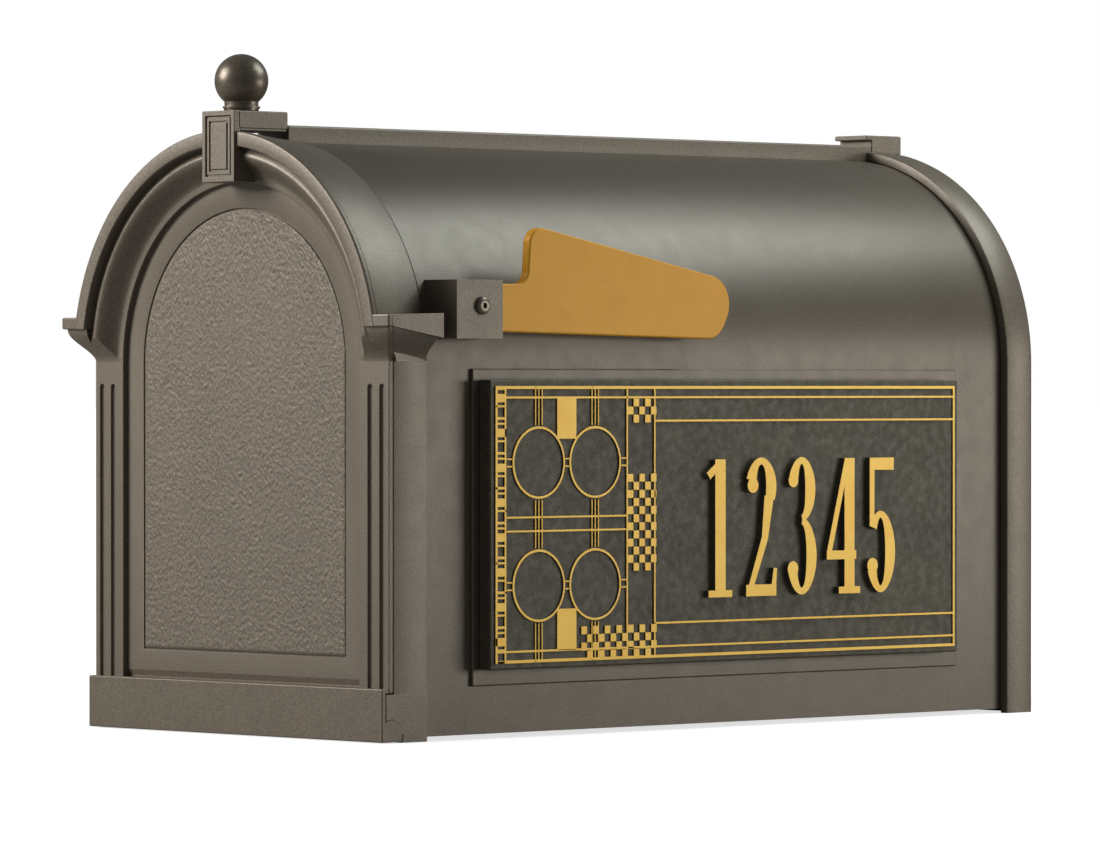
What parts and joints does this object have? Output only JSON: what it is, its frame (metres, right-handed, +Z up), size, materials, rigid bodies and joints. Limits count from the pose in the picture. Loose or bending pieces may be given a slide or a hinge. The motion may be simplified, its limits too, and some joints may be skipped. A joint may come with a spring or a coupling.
{
  "type": "curbside mailbox",
  "caption": "Arched cast-metal post-mount mailbox with drop-down front door, ball-finial pull, signal flag, ridge cap and a side plaque with raised house number",
  "frame": {"origin": "middle of the flat underside of the floor pan, where the post's mounting board is screwed on, 15 mm above the plinth's underside", "axes": "+Z up, +Y towards the rear (the door faces -Y), +X towards the side with the flag and the plaque"},
  "size_m": [0.2738, 0.5214, 0.3678],
  "materials": {
    "bronze_powder_coat": "fine-textured satin powder coat, bronze brown",
    "bronze_floor_coat": "matt powder coat, bronze brown",
    "plaque_dark_bronze": "matt stippled dark bronze paint",
    "gold_paint": "satin gold enamel on raised faces",
    "flag_gold": "satin gold enamel",
    "zinc_steel": "zinc-plated",
    "ferrite_magnet": "matt ceramic"
  },
  "bodies": {
    "housing": {"body_shell": "bronze_powder_coat", "bracket_screw_1": "zinc_steel", "bracket_screw_2": "zinc_steel", "cap_screw_1": "zinc_steel", "cap_screw_2": "zinc_steel", "cap_screw_3": "zinc_steel", "cap_screw_4": "zinc_steel", "catch_bracket": "zinc_steel", "catch_magnet": "ferrite_magnet", "catch_screw": "zinc_steel", "digit_1": "gold_paint", "digit_2": "gold_paint", "digit_3": "gold_paint", "digit_4": "gold_paint", "digit_5": "gold_paint", "flag_bracket": "bronze_powder_coat", "flag_pivot_screw": "bronze_powder_coat", "flag_washer": "zinc_steel", "floor_pan": "bronze_floor_coat", "floor_screw_1": "zinc_steel", "floor_screw_2": "zinc_steel", "floor_screw_3": "zinc_steel", "floor_screw_4": "zinc_steel", "frame_screw_1": "zinc_steel", "frame_screw_2": "zinc_steel", "frame_screw_3": "zinc_steel", "frame_screw_4": "zinc_steel", "front_frame": "bronze_powder_coat", "hinge_pin_1": "zinc_steel", "hinge_pin_2": "zinc_steel", "plaque_screw_1": "zinc_steel", "plaque_screw_2": "zinc_steel", "plaque_screw_3": "zinc_steel", "plaque_screw_4": "zinc_steel", "rear_cap": "bronze_powder_coat", "ridge_screw_1": "zinc_steel", "ridge_screw_2": "zinc_steel", "ridge_screw_3": "zinc_steel", "ridge_strip": "bronze_powder_coat", "side_plaque": "plaque_dark_bronze"},
    "door": {"door_casting": "bronze_powder_coat", "finial_ball": "bronze_powder_coat", "finial_stud": "zinc_steel", "strike_plate": "zinc_steel", "strike_screw_1": "zinc_steel", "strike_screw_2": "zinc_steel"},
    "flag": {"flag_blade": "flag_gold"}
  },
  "joints": [
    {"name": "door_hinge", "type": "hinge", "parent": "housing", "child": "door", "pos_m": [0, -0.25, -0.0108], "axis": [1, 0, 0], "range_deg": [0, 90]},
    {"name": "flag_pivot", "type": "hinge", "parent": "housing", "child": "flag", "pos_m": [0.13085, -0.2001, 0.2161], "axis": [1, 0, 0], "range_deg": [0, 90]}
  ]
}
